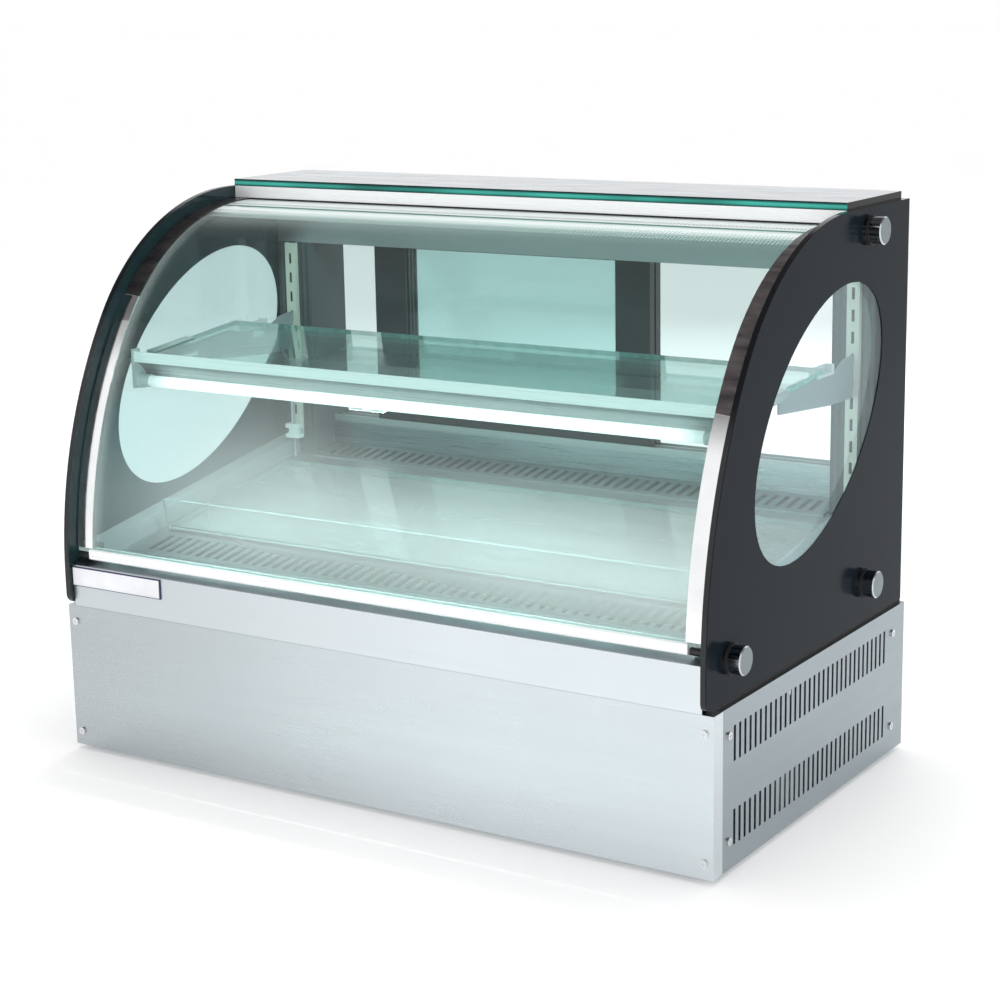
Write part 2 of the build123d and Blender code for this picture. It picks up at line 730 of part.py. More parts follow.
# ---------------------------------------------------------------- machinery
FAN_X = 262
FAN_CENTRE = (0, 95)             # (Y, Z) of the condenser fan
COLD_FAN_CENTRE = (-40, 242)     # (X, Z) of the evaporator fan
COLD_FAN_Y = -6


def compressor():
    """Welded compressor shell on its foot plate."""
    shell = Pos(-290, 90, 70) * Cylinder(62, 70)
    dome = Pos(-290, 90, 105) * scale(Sphere(62), by=(1, 1, 0.55))
    plate = block(-370, -210, 30, 150, 8, 12)
    legs = [rod_z(x, y, 12, 20, 9) for x in (-350, -230) for y in (45, 135)]
    skirt = block(-362, -218, 35, 145, 20, 36)
    return [plate + legs + skirt + shell + dome]


def finned_coil(x0, x1, y0, y1, z0, z1, fins, rows):
    """Fin block: end plates and thin fins joined by tubes along X."""
    pitch = (x1 - x0 - 2) / (fins - 1)
    coil = block(x0, x0 + 2, y0, y1, z0, z1)
    plates = [block(x0 + i * pitch, x0 + i * pitch + 1.2, y0, y1, z0, z1) for i in range(1, fins)]
    tubes = []
    for y in [y0 + (y1 - y0) * (i + 0.5) / rows[0] for i in range(rows[0])]:
        for z in [z0 + (z1 - z0) * (i + 0.5) / rows[1] for i in range(rows[1])]:
            tubes.append(rod_x(x0 - 4, x1 + 4, y, z, 4))
    return coil + plates + tubes


def condenser_coil():
    """Condenser, fins across the air path from the right-hand vents."""
    coil = finned_coil(-110, 110, -18, 18, 30, 160, 23, (2, 6))
    return Pos(330, 0, 0) * Rot(0, 0, 90) * coil


def evaporator_coil():
    """Evaporator under the glass tray."""
    return finned_coil(-220, 220, 40, 110, 220, 268, 31, (3, 2))


def fan_shroud_x():
    """Condenser fan plate with its ring, motor and three struts."""
    y, z = FAN_CENTRE
    plate = block(FAN_X - 2, FAN_X, y - 115, y + 115, 10, 178) - rod_x(FAN_X - 5, FAN_X + 5, y, z, 72)
    ring = rod_x(FAN_X - 24, FAN_X, y, z, 75) - rod_x(FAN_X - 25, FAN_X + 1, y, z, 72)
    motor = rod_x(FAN_X - 60, FAN_X - 28, y, z, 24)
    strut = block(FAN_X - 40, FAN_X - 20, -3, 3, 20, 74)
    struts = [Pos(0, y, z) * Rot(angle, 0, 0) * strut for angle in (0, 120, 240)]
    shaft_hole = rod_x(FAN_X - 61, FAN_X - 27, y, z, 3.05)
    return plate + ring + motor + struts - shaft_hole


def fan_blades(count, hub_radius, tip_radius, depth, shaft_length):
    """Axial fan turning about Z: hub, shaft below it and pitched blades."""
    hub = Cylinder(hub_radius, depth)
    shaft = Pos(0, 0, -depth / 2 - shaft_length / 2) * Cylinder(3, shaft_length)
    span = tip_radius - hub_radius + 4
    blade = Pos(hub_radius - 4 + span / 2, 0, 0) * Rot(32, 0, 0) * Box(span, tip_radius * 0.5, 2)
    blades = [Rot(0, 0, 360 * i / count) * blade for i in range(count)]
    return hub + shaft + blades


def condenser_fan():
    y, z = FAN_CENTRE
    return Pos(FAN_X - 9, y, z) * Rot(0, 90, 0) * fan_blades(5, 20, 68, 14, 34)


def fan_shroud_y():
    """Evaporator fan baffle with its motor behind it."""
    x, z = COLD_FAN_CENTRE
    y = COLD_FAN_Y
    baffle = block(-400, 400, y - 1, y + 1, FLOOR_TOP, 272) - rod_y(x, y - 5, y + 5, z, 24)
    motor = rod_y(x, y + 12, y + 34, z, 13)
    strut = block(-2, 2, y + 10, y + 16, 12, 28) + block(-2, 2, y, y + 16, 25, 28)
    struts = [Pos(x, 0, z) * Rot(0, angle, 0) * strut for angle in (0, 120, 240)]
    return baffle + motor + struts - rod_y(x, y + 11, y + 35, z, 3.05)


def evaporator_fan():
    x, z = COLD_FAN_CENTRE
    return Pos(x, COLD_FAN_Y + 2, z) * Rot(90, 0, 0) * fan_blades(4, 9, 22, 8, 20)


# ---------------------------------------------------------------- rear controls
PANEL_Z = 120
PANEL_BACK = 257
SWITCH_X = (-275, -245)
KNOB_X = -195


def control_panel():
    """Plate with a box behind it, pockets for two rockers and a hole for the dial shaft."""
    plate = block(-310, -150, HALF_D, PANEL_BACK, 80, 160)
    box_outer = block(-300, -160, 205, HALF_D, 90, 150)
    box_inner = block(-298, -162, 207, HALF_D - 2, 92, 148)
    body = plate + (box_outer - box_inner)
    for x in SWITCH_X:
        body -= block(x - 8.5, x + 8.5, HALF_D - 4, PANEL_BACK + 1, PANEL_Z - 13.5, PANEL_Z + 13.5)
    return body - rod_y(KNOB_X, 240, PANEL_BACK + 1, PANEL_Z, 3.05)


def rocker(x):
    """Rocker switch cap: two flats that meet at a ridge, tilting about X."""
    low, high = PANEL_Z - 12, PANEL_Z + 12
    points = [(251, low), (258.5, low), (257.5, PANEL_Z), (260, high), (251, high)]
    return side_polygon(points, x - 8, x + 8)


def thermostat_knob():
    """Dial with a pointer rib on a round shaft."""
    dial = rod_y(KNOB_X, PANEL_BACK + 0.4, 262, PANEL_Z, 15)
    pointer = block(KNOB_X - 1.5, KNOB_X + 1.5, 261, 263, PANEL_Z, PANEL_Z + 14)
    shaft = rod_y(KNOB_X, 242, PANEL_BACK + 1, PANEL_Z, 3)
    return dial + pointer + shaft


# ---------------------------------------------------------------- output
NODES = {
    "base_pan": base_pan,
    "feet": feet,
    "front_panel": front_panel,
    "side_vent_panels": lambda: pair(side_vent_panel()),
    "rear_base_panel": rear_base_panel,
    "panel_screws": panel_screws,
    "cable_gland": cable_gland,
    "fascia": fascia,
    "nameplate": nameplate,
    "insulated_floor": insulated_floor,
    "tub_walls": lambda: [front_curb()] + pair(tub_side()),
    "rear_sill": rear_sill,
    "deck_frame": deck_frame,
    "deck_grilles": deck_grilles,
    "deck_glass": deck_glass,
    "stop_rail": stop_rail,
    "side_glass_right": side_glass,
    "side_glass_left": lambda: mirrored(side_glass()),
    "side_border_right": side_border,
    "side_border_left": lambda: mirrored(side_border()),
    "glass_seals": glass_seals,
    "standoff_bases": standoff_bases,
    "standoff_washers": standoff_washers,
    "standoff_caps": standoff_caps,
    "standoff_studs": standoff_studs,
    "front_glass": front_glass,
    "front_glass_strips": front_glass_strips,
    "front_glass_rail": front_glass_rail,
    "hinge_blocks": hinge_blocks,
    "top_front_profile": top_front_profile,
    "top_panel": top_panel,
    "top_glass": top_glass,
    "ceiling_lamp_housing": ceiling_lamp_housing,
    "ceiling_lamp_diffuser": ceiling_lamp_diffuser,
    "rear_posts": rear_posts,
    "rear_header": rear_header,
    "door_tracks": door_tracks,
    "door_inner_frame": lambda: door_frame(INNER_DOOR_Y),
    "door_inner_glass": lambda: door_pane(INNER_DOOR_Y),
    "door_outer_frame": lambda: door_frame(OUTER_DOOR_Y),
    "door_outer_glass": lambda: door_pane(OUTER_DOOR_Y),
    "shelf_standards": shelf_standards,
    "shelf_brackets": shelf_brackets,
    "shelf_glass": shelf_glass,
    "shelf_light_bar": shelf_light_bar,
    "shelf_light_tube": shelf_light_tube,
    "shelf_fittings": shelf_fittings,
    "shelf_light_lead": shelf_light_lead,
    "lead_connector": lead_connector,
    "compressor": compressor,
    "condenser_coil": condenser_coil,
    "condenser_fan_shroud": fan_shroud_x,
    "condenser_fan": condenser_fan,
    "evaporator_coil": evaporator_coil,
    "evaporator_fan_shroud": fan_shroud_y,
    "evaporator_fan": evaporator_fan,
    "control_panel": control_panel,
    "power_switch": lambda: rocker(SWITCH_X[0]),
    "lamp_switch": lambda: rocker(SWITCH_X[1]),
    "thermostat_knob": thermostat_knob,
}

os.makedirs("parts", exist_ok=True)
for name, make in NODES.items():
    shape = make()
    solids = shape if isinstance(shape, list) else [shape]
    export_step(Compound([solid for piece in solids for solid in piece.solids()]), f"parts/{name}.step")
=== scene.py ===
import json
import math

import bmesh
import bpy
from mathutils import Matrix, Vector


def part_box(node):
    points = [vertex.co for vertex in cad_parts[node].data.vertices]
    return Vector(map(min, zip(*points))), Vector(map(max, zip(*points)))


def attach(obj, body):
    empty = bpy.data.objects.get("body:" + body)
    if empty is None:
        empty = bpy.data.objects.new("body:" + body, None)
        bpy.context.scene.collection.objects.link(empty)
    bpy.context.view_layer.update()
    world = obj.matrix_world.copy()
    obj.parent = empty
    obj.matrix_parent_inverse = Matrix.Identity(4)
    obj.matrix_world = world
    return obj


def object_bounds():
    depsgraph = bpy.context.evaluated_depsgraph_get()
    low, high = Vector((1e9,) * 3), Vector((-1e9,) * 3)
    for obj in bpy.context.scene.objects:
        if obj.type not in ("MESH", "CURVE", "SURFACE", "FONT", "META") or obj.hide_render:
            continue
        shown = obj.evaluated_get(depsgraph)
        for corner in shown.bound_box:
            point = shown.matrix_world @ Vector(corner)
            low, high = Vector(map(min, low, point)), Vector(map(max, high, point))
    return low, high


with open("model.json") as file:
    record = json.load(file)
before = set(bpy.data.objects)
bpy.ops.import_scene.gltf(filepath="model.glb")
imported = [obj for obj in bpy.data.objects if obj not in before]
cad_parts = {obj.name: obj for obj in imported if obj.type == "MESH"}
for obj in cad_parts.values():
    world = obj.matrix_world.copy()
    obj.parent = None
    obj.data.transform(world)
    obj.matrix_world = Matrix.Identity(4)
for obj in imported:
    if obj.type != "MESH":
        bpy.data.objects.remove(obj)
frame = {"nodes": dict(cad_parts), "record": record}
cad_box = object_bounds()

# Curved-glass refrigerated display showcase: looks, built around the CAD frame. Metres, +Z up.

MM = 0.001


# ------------------------------------------------------------------ node helpers
class Tree:
    """One material's node tree, with short calls to add and join nodes."""

    def __init__(self, name):
        self.material = bpy.data.materials.new(name)
        self.material.use_nodes = True
        self.nodes = self.material.node_tree.nodes
        self.links = self.material.node_tree.links
        self.nodes.clear()

    def add(self, kind, settings=None, **inputs):
        """Adds a node; inputs are values or other nodes' sockets, by socket name with _ for a space."""
        node = self.nodes.new(kind)
        for key, value in (settings or {}).items():
            setattr(node, key, value)
        for key, value in inputs.items():
            self.put(node.inputs[key.replace("_", " ")], value)
        return node

    def put(self, socket, value):
        if isinstance(value, bpy.types.NodeSocket):
            self.links.new(value, socket)
        else:
            socket.default_value = value

    def finish(self, shader):
        out = self.nodes.new("ShaderNodeOutputMaterial")
        self.links.new(shader, out.inputs["Surface"])
        return self.material

    def maths(self, operation, a, b=0.0, clamp=False):
        node = self.nodes.new("ShaderNodeMath")
        node.operation = operation
        node.use_clamp = clamp
        self.put(node.inputs[0], a)
        self.put(node.inputs[1], b)
        return node.outputs[0]

    def place(self):
        """X, Y and Z in the piece's own frame, which is the row frame at rest."""
        where = self.add("ShaderNodeTexCoord").outputs["Object"]
        return self.add("ShaderNodeSeparateXYZ", Vector=where)

    def noise(self, scale=(1, 1, 1), size=1.0, detail=3.0, rough=0.5):
        """Noise from 0 to 1 in object space, squeezed by scale."""
        where = self.add("ShaderNodeTexCoord").outputs["Object"]
        squeezed = self.add("ShaderNodeMapping", Vector=where, Scale=scale).outputs[0]
        node = self.add(
            "ShaderNodeTexNoise", Vector=squeezed, Scale=size, Detail=detail, Roughness=rough
        )
        return node.outputs["Fac"]

    def span(self, value, low, high, from_low=0.3, from_high=0.7, smooth=False):
        """Maps value from one range to another, clamped."""
        node = self.add(
            "ShaderNodeMapRange",
            {"clamp": True, "interpolation_type": "SMOOTHSTEP" if smooth else "LINEAR"},
        )
        for key, item in (
            ("Value", value), ("From Min", from_low), ("From Max", from_high),
            ("To Min", low), ("To Max", high),
        ):
            self.put(node.inputs[key], item)
        return node.outputs[0]

    def blend(self, factor, first, second):
        """Mixes two colours."""
        node = self.nodes.new("ShaderNodeMix")
        node.data_type = "RGBA"
        self.put(node.inputs[0], factor)
        for socket, value in ((node.inputs[6], first), (node.inputs[7], second)):
            self.put(socket, value if isinstance(value, bpy.types.NodeSocket) else (*value, 1))
        return node.outputs[2]

    def bump(self, height, strength, distance):
        return self.add(
            "ShaderNodeBump", Height=height, Strength=strength, Distance=distance
        ).outputs[0]

    def shader_mix(self, factor, first, second):
        node = self.nodes.new("ShaderNodeMixShader")
        self.put(node.inputs[0], factor)
        self.links.new(first, node.inputs[1])
        self.links.new(second, node.inputs[2])
        return node.outputs[0]


def shade(colour, amount):
    """The colour made lighter or darker by a share."""
    return tuple(min(1.0, c * (1 + amount)) for c in colour)


# ------------------------------------------------------------------ materials
PAINTED_SHADE_X = (-0.44, 0.2)            # where a sheet's painted shade is darkest, and where it is gone


def brushed(name, colour, along, roughness=0.3, metallic=1.0, streaks=0.06, painted_shade=0.0):
    """Brushed sheet metal; along is the axis (0, 1 or 2) that the brush marks follow.

    The last argument is the share of painted shade: how much darker the sheet is painted at its left end
    than at its right end.
    """
    t = Tree(name)
    fine = [900.0] * 3
    fine[along] = 9.0
    broad = [60.0] * 3
    broad[along] = 2.0
    marks = t.noise(fine, detail=2.0)
    bands = t.noise(broad, detail=2.0)
    cloud = t.noise(size=7.0, detail=4.0)
    mixed = t.maths("ADD", t.maths("MULTIPLY", marks, 0.5), t.maths("MULTIPLY", bands, 0.5))
    base = t.blend(t.span(mixed, 0, 1), shade(colour, -streaks), shade(colour, streaks))
    # painted shade: the sheet's colour darkens towards its left end
    if painted_shade:
        axes = t.place()
        left = t.span(axes.outputs["X"], painted_shade, 0, *PAINTED_SHADE_X, smooth=True)
        base = t.blend(left, base, (0, 0, 0))
    dull = t.maths("ADD", t.span(marks, -0.04, 0.05), t.span(cloud, -0.03, 0.04))
    rough = t.maths("ADD", dull, roughness, clamp=True)
    shader = t.add(
        "ShaderNodeBsdfPrincipled",
        Base_Color=base, Roughness=rough, Metallic=metallic,
        Normal=t.bump(marks, 0.25, 0.05 * MM),
    )
    return t.finish(shader.outputs[0])


def light_bar_metal(name, split):
    """Lamp section: a fence above the height split, painted bright with a painted glow, and a duller
    reflector below it.
    """
    t = Tree(name)
    axes = t.place()
    marks = t.noise((9, 900, 900), detail=2.0)
    # the fence is painted bright and given a painted glow, though it is no lamp
    glowing_fence = t.span(axes.outputs["Z"], 0, 1, split - 0.5 * MM, split + 0.5 * MM)
    duller = t.blend(t.span(marks, 0, 1), (0.36, 0.4, 0.4), (0.46, 0.5, 0.5))
    bright = t.blend(t.span(marks, 0, 1), (0.86, 0.9, 0.9), (0.94, 0.97, 0.97))
    shader = t.add(
        "ShaderNodeBsdfPrincipled",
        Base_Color=t.blend(glowing_fence, duller, bright), Metallic=t.span(glowing_fence, 0.7, 0.2, 0.0, 1.0),
        Roughness=t.span(marks, 0.26, 0.38), Normal=t.bump(marks, 0.15, 0.00005),
        Emission_Color=(0.9, 1, 0.99, 1), Emission_Strength=t.maths("MULTIPLY", glowing_fence, 0.28),
    )
    return t.finish(shader.outputs[0])


def polished(name, colour, roughness=0.08):
    """Polished metal with faint smears and hairline scratches."""
    t = Tree(name)
    cloud = t.noise(size=45.0, detail=4.0)
    hairs = t.noise((30, 2200, 2200), detail=2.0)
    rough = t.maths("ADD", t.span(cloud, 0, 0.06), t.span(hairs, roughness, roughness + 0.04))
    base = t.blend(t.span(cloud, 0, 1), shade(colour, -0.05), shade(colour, 0.03))
    shader = t.add(
        "ShaderNodeBsdfPrincipled",
        Base_Color=base, Roughness=rough, Metallic=1.0,
        Normal=t.bump(cloud, 0.04, 0.0002),
    )
    return t.finish(shader.outputs[0])


def turned_cap(name, face_colour, highlight_colour):
    """Metal cap turned about X: satin end faces, a chamfer painted brighter as a painted highlight, and a
    side painted with dark and light streaks along X as painted reflection.
    """
    t = Tree(name)
    normal = t.add("ShaderNodeNewGeometry").outputs["Normal"]
    ends = t.maths("ABSOLUTE", t.add("ShaderNodeSeparateXYZ", Vector=normal).outputs[0])
    face = t.span(ends, 0, 1, 0.88, 0.96)
    # chamfer painted in the brighter colour: painted highlight
    rim = t.span(ends, 0, 1, 0.3, 0.6)
    speck = t.noise(size=1100.0, detail=2.0)
    # dark and light streaks along the axis on the side: painted reflection
    reflection_streak = t.noise((1, 160, 160), size=2.0, detail=3.0)
    side = t.blend(t.span(reflection_streak, 0, 1, 0.42, 0.66), (0.06, 0.07, 0.075), (0.5, 0.55, 0.57))
    satin = t.blend(t.span(speck, 0, 1), shade(face_colour, -0.25), shade(face_colour, 0.25))
    rough = t.add("ShaderNodeMix")
    t.put(rough.inputs[0], face)
    t.put(rough.inputs[2], t.span(reflection_streak, 0.12, 0.22))
    t.put(rough.inputs[3], t.span(speck, 0.3, 0.45))
    shader = t.add(
        "ShaderNodeBsdfPrincipled",
        Base_Color=t.blend(face, t.blend(rim, side, highlight_colour), satin), Metallic=1.0,
        Roughness=rough.outputs[0], Normal=t.bump(speck, 0.2, 0.0001),
    )
    return t.finish(shader.outputs[0])


REFLECTION_EDGE_Z = 0.5265             # lower edge of the strip's painted dark reflection at X = 0
REFLECTION_LEAN = 0.083                # how much higher that edge is per unit of -X


def strip_painted_reflection(name):
    """Polished strip, its upper part painted dark brown as a painted reflection, darker still on the left.
    """
    t = Tree(name)
    axes = t.place()
    lean = t.maths("MULTIPLY", axes.outputs["X"], REFLECTION_LEAN)
    height = t.maths("ADD", axes.outputs["Z"], lean)
    # mask of the painted dark reflection on the strip's upper part
    film = t.span(height, 0, 1, REFLECTION_EDGE_Z, REFLECTION_EDGE_Z + MM)
    cloud = t.noise(size=45.0, detail=4.0)
    mottle = t.noise((8, 30, 30), size=3.0, detail=4.0)
    dark_reflection = t.blend(t.span(mottle, 0, 1), (0.035, 0.03, 0.032), (0.12, 0.105, 0.105))
    # the painted reflection is darker towards the left
    left = t.span(axes.outputs["X"], 0.75, 0, -0.1, 0.1)
    dark_reflection = t.blend(left, dark_reflection, (0.01, 0.011, 0.012))
    bright = t.blend(t.span(cloud, 0, 1), (0.88, 0.89, 0.9), (0.95, 0.955, 0.965))
    shader = t.add(
        "ShaderNodeBsdfPrincipled",
        Base_Color=t.blend(film, bright, dark_reflection),
        Metallic=t.span(film, 1.0, 0.2, 0.0, 1.0),
        Roughness=t.maths("ADD", t.span(cloud, 0.08, 0.16), t.maths("MULTIPLY", film, 0.14)),
        Normal=t.bump(t.maths("ADD", cloud, film), 0.1, 0.0003),
    )
    return t.finish(shader.outputs[0])


def painted(name, colour, roughness=0.4, peel=0.12, metallic=0.0, mottle=0.0):
    """Sprayed or powder coat: orange peel, small colour drift, and a little darkening in patches."""
    t = Tree(name)
    peel_noise = t.noise(size=900.0, detail=2.0)
    cloud = t.noise(size=11.0, detail=5.0, rough=0.6)
    base = t.blend(t.span(cloud, 0, 1), shade(colour, -0.07 - mottle), shade(colour, 0.04))
    rough = t.maths("ADD", t.span(cloud, -0.05, 0.07), roughness, clamp=True)
    shader = t.add(
        "ShaderNodeBsdfPrincipled",
        Base_Color=base, Roughness=rough, Metallic=metallic,
        Normal=t.bump(peel_noise, peel, 0.0001),
    )
    return t.finish(shader.outputs[0])


def moulded(name, colour, roughness=0.4, texture=0.1, coat=0.0):
    """Moulded plastic or rubber with a fine spark texture."""
    t = Tree(name)
    spark = t.noise(size=1800.0, detail=2.0)
    cloud = t.noise(size=25.0, detail=3.0)
    base = t.blend(t.span(cloud, 0, 1), shade(colour, -0.1), shade(colour, 0.1))
    rough = t.maths("ADD", t.span(spark, -0.04, 0.06), roughness, clamp=True)
    shader = t.add(
        "ShaderNodeBsdfPrincipled",
        Base_Color=base, Roughness=rough, Coat_Weight=coat, Coat_Roughness=0.1,
        Normal=t.bump(spark, texture, 0.0001),
    )
    return t.finish(shader.outputs[0])


def printed_glass(name, colour, gloss):
    """Glossy black print: even colour with faint dust and a slightly wavy surface."""
    t = Tree(name)
    dust = t.noise(size=700.0, detail=3.0, rough=0.7)
    wave = t.noise(size=26.0, detail=3.0)
    specks = t.span(dust, 0, 1, 0.66, 0.8)
    base = t.blend(specks, colour, shade(colour, 1.4))
    rough = t.maths("ADD", t.span(wave, 0.1, 0.2), t.maths("MULTIPLY", specks, 0.3))
    shader = t.add(
        "ShaderNodeBsdfPrincipled",
        Base_Color=base, Roughness=rough, Specular_IOR_Level=gloss,
        Normal=t.bump(t.maths("ADD", wave, t.maths("MULTIPLY", dust, 0.1)), 0.08, 0.0006),
    )
    return t.finish(shader.outputs[0])


def pane(name, tint, thin_axis, edge, haze=0.03, haze_colour=(0.9, 1, 0.98), mirror=0.8, cover=None):
    """Sheet glass as a clear tinted film with a Fresnel mirror on each face and a dense edge.

    thin_axis is the row-frame axis through the sheet, or "curved" for a sheet bent about X.
    cover is a function that returns how much white print or mist lies on the sheet, from 0 to 1.
    """
    t = Tree(name)
    facing = t.add("ShaderNodeLayerWeight", Blend=0.5).outputs["Facing"]
    sheen = t.maths("MULTIPLY", t.maths("POWER", facing, 5.0), 0.96 * mirror)
    reflect = t.maths("ADD", sheen, 0.04 * mirror, clamp=True)
    cloud = t.noise(size=6.0, detail=5.0, rough=0.6)
    wipe = t.noise((4, 60, 60), detail=3.0)
    film = t.maths("MULTIPLY", t.span(cloud, 0.7, 1.3), t.span(wipe, 0.75, 1.25))
    density = t.maths("MULTIPLY", film, haze)
    if cover:
        density = t.maths("ADD", density, cover(t))
    clear = t.add("ShaderNodeBsdfTransparent", Color=(*tint, 1)).outputs[0]
    mist = t.add("ShaderNodeBsdfDiffuse", Color=(*haze_colour, 1)).outputs[0]
    gloss = t.add(
        "ShaderNodeBsdfGlossy", Color=(1, 1, 1, 1), Roughness=t.span(cloud, 0.01, 0.05)
    ).outputs[0]
    body = t.shader_mix(t.maths("MAXIMUM", density, 0.0, clamp=True), clear, mist)
    face = t.shader_mix(reflect, body, gloss)
    normal = t.add("ShaderNodeNewGeometry").outputs["Normal"]
    parts = t.add("ShaderNodeSeparateXYZ", Vector=normal)
    if thin_axis == "curved":
        rim = t.span(t.maths("ABSOLUTE", parts.outputs[0]), 0, 1, 0.6, 0.8)
    else:
        rim = t.span(t.maths("ABSOLUTE", parts.outputs[thin_axis]), 1, 0, 0.6, 0.8)
    grain = t.noise(size=120.0, detail=3.0)
    side = t.add(
        "ShaderNodeBsdfPrincipled",
        Base_Color=t.blend(t.span(grain, 0, 1), shade(edge, -0.3), shade(edge, 0.25)),
        Roughness=0.12,
    ).outputs[0]
    return t.finish(t.shader_mix(rim, face, side))


# arc of the front glass in the YZ plane: centre and radius
ARC_Y, ARC_Z, ARC_RADIUS = 0.081, 0.379, 0.283
DOT_PITCH = 5 * MM
PRINT_COVER = 0.85
# each printed band, as distances down the arc from its top: start, dotted row's start and end, end
FRIT_BANDS = (
    (-8 * MM, 26 * MM, 34 * MM, 40 * MM),
    (45 * MM, 60 * MM, 73 * MM, 72 * MM),
)


# cold mist: its heights, where it thickens along X, and a round patch of it
MIST_RISE_Z = (0.255, 0.31)
MIST_FALL_Z = (0.315, 0.44)
MIST_X = (-0.42, 0.25)
PATCH_X, PATCH_Z = -0.17, 0.36
PATCH_FADE = (0.03, 0.24)        # distance from the patch's centre: fullest, gone
LEFT_REFLECTION_X = (-0.424, -0.396)    # painted reflection at the window's left end: fullest, gone


def between(t, value, start, end):
    """1 where value lies between start and end, fading to 0 within a millimetre."""
    after = t.span(value, 0, 1, start, start + MM)
    before = t.span(value, 1, 0, end - MM, end)
    return t.maths("MULTIPLY", after, before)


def window_cover(t):
    """White share on the window: cold mist, a painted reflection at the left end, and printed bands along
    the top.

    The mist lies low on the glass. Each printed band has a row of fine clear dots.
    """
    axes = t.place()
    rising = t.span(axes.outputs["Z"], 0.17, 0.33, *MIST_RISE_Z, smooth=True)
    falling = t.span(axes.outputs["Z"], 1, 0, *MIST_FALL_Z, smooth=True)
    right = t.span(axes.outputs["X"], 0.2, 1, *MIST_X, smooth=True)
    low = t.maths("MULTIPLY", t.maths("MULTIPLY", rising, falling), right)
    off_x = t.maths("SUBTRACT", axes.outputs["X"], PATCH_X)
    off_z = t.maths("MULTIPLY", t.maths("SUBTRACT", axes.outputs["Z"], PATCH_Z), 1.5)
    away = t.maths("ADD", t.maths("MULTIPLY", off_x, off_x), t.maths("MULTIPLY", off_z, off_z))
    patch = t.span(t.maths("SQRT", away), 0.13, 0, *PATCH_FADE, smooth=True)
    # pale band at the left end: painted reflection
    left_reflection = t.span(axes.outputs["X"], 0.3, 0, *LEFT_REFLECTION_X, smooth=True)
    total = t.maths("ADD", t.maths("ADD", low, patch), left_reflection)
    up = t.maths("SUBTRACT", axes.outputs["Z"], ARC_Z)
    back = t.maths("SUBTRACT", axes.outputs["Y"], ARC_Y)
    angle = t.maths("ARCTAN2", up, back)
    down = t.maths("MULTIPLY", t.maths("SUBTRACT", angle, math.pi / 2), ARC_RADIUS)
    wave = t.maths("COSINE", t.maths("MULTIPLY", axes.outputs["X"], 2 * math.pi / DOT_PITCH))
    dots = t.span(wave, 0, 1, 0.0, 0.5)
    for start, row, row_end, end in FRIT_BANDS:
        inside = between(t, down, start, end)
        in_row = between(t, down, row, row_end)
        covered = t.maths("SUBTRACT", 1.0, t.maths("MULTIPLY", in_row, dots))
        share = t.maths("MULTIPLY", t.maths("MULTIPLY", inside, covered), PRINT_COVER)
        total = t.maths("ADD", total, share)
    return total


def plate_glass_top(name, low, high):
    """Backed top plate: pale silvery face, black ends, and a green front edge between dark lines."""
    t = Tree(name)
    axes = t.place()
    across = t.span(axes.outputs["Z"], 0, 1, low.z, high.z)
    cloud = t.noise((14, 60, 60), detail=4.0)
    sparkle = t.noise(size=1500.0, detail=2.0)
    normal = t.add("ShaderNodeSeparateXYZ", Vector=t.add("ShaderNodeNewGeometry").outputs["Normal"])
    front = t.span(t.maths("MULTIPLY", normal.outputs[1], -1.0), 0, 1, 0.6, 0.8)
    up = t.span(normal.outputs[2], 0, 1, 0.6, 0.8)
    stripe = t.add("ShaderNodeValToRGB", Fac=across)
    stops = (
        (0.0, (0.005, 0.03, 0.028)), (0.14, (0.02, 0.16, 0.13)), (0.3, (0.05, 0.42, 0.34)),
        (0.55, (0.08, 0.5, 0.42)), (0.72, (0.02, 0.2, 0.17)), (0.86, (0.004, 0.02, 0.02)),
        (1.0, (0.002, 0.01, 0.01)),
    )
    while len(stripe.color_ramp.elements) < len(stops):
        stripe.color_ramp.elements.new(0.5)
    for element, (spot, colour) in zip(stripe.color_ramp.elements, stops):
        element.position = spot
        element.color = (*colour, 1)
    patch = t.span(t.noise((5, 1, 1), detail=2.0), 0.35, 1.0, 0.35, 0.55)
    edge = t.blend(patch, (0.004, 0.02, 0.02), stripe.outputs[0])
    face = t.blend(t.span(sparkle, 0, 1), (0.22, 0.265, 0.305), (0.305, 0.36, 0.41))
    ends = t.blend(front, (0.01, 0.011, 0.012), edge)
    rough = t.maths("ADD", t.span(cloud, 0.1, 0.2), t.maths("MULTIPLY", up, 0.06))
    shader = t.add(
        "ShaderNodeBsdfPrincipled",
        Base_Color=t.blend(up, ends, face), Roughness=rough, Coat_Roughness=0.04,
        Specular_IOR_Level=t.span(up, 0.12, 0.5, 0.0, 1.0), Coat_Weight=t.span(up, 0.0, 0.5, 0.0, 1.0),
        Normal=t.bump(cloud, 0.03, 0.0005),
    )
    return t.finish(shader.outputs[0])


def blank_plate(name, low, high):
    """White plate with a thin dark line along its top, right and bottom edges."""
    t = Tree(name)
    axes = t.place()
    top = t.span(axes.outputs["Z"], 0, 1, high.z - 1.7 * MM, high.z - 1.3 * MM)
    right = t.span(axes.outputs["X"], 0, 1, high.x - 2.2 * MM, high.x - 1.8 * MM)
    bottom = t.span(axes.outputs["Z"], 1, 0, low.z + 0.7 * MM, low.z + 1.1 * MM)
    line = t.maths("MAXIMUM", t.maths("MAXIMUM", top, right), bottom)
    cloud = t.noise(size=30.0, detail=3.0)
    paper = t.blend(t.span(cloud, 0, 1), (0.78, 0.79, 0.82), (0.88, 0.89, 0.91))
    shader = t.add(
        "ShaderNodeBsdfPrincipled",
        Base_Color=t.blend(line, paper, (0.02, 0.025, 0.09)),
        Roughness=t.span(cloud, 0.28, 0.4), Normal=t.bump(cloud, 0.05, 0.0003),
    )
    return t.finish(shader.outputs[0])


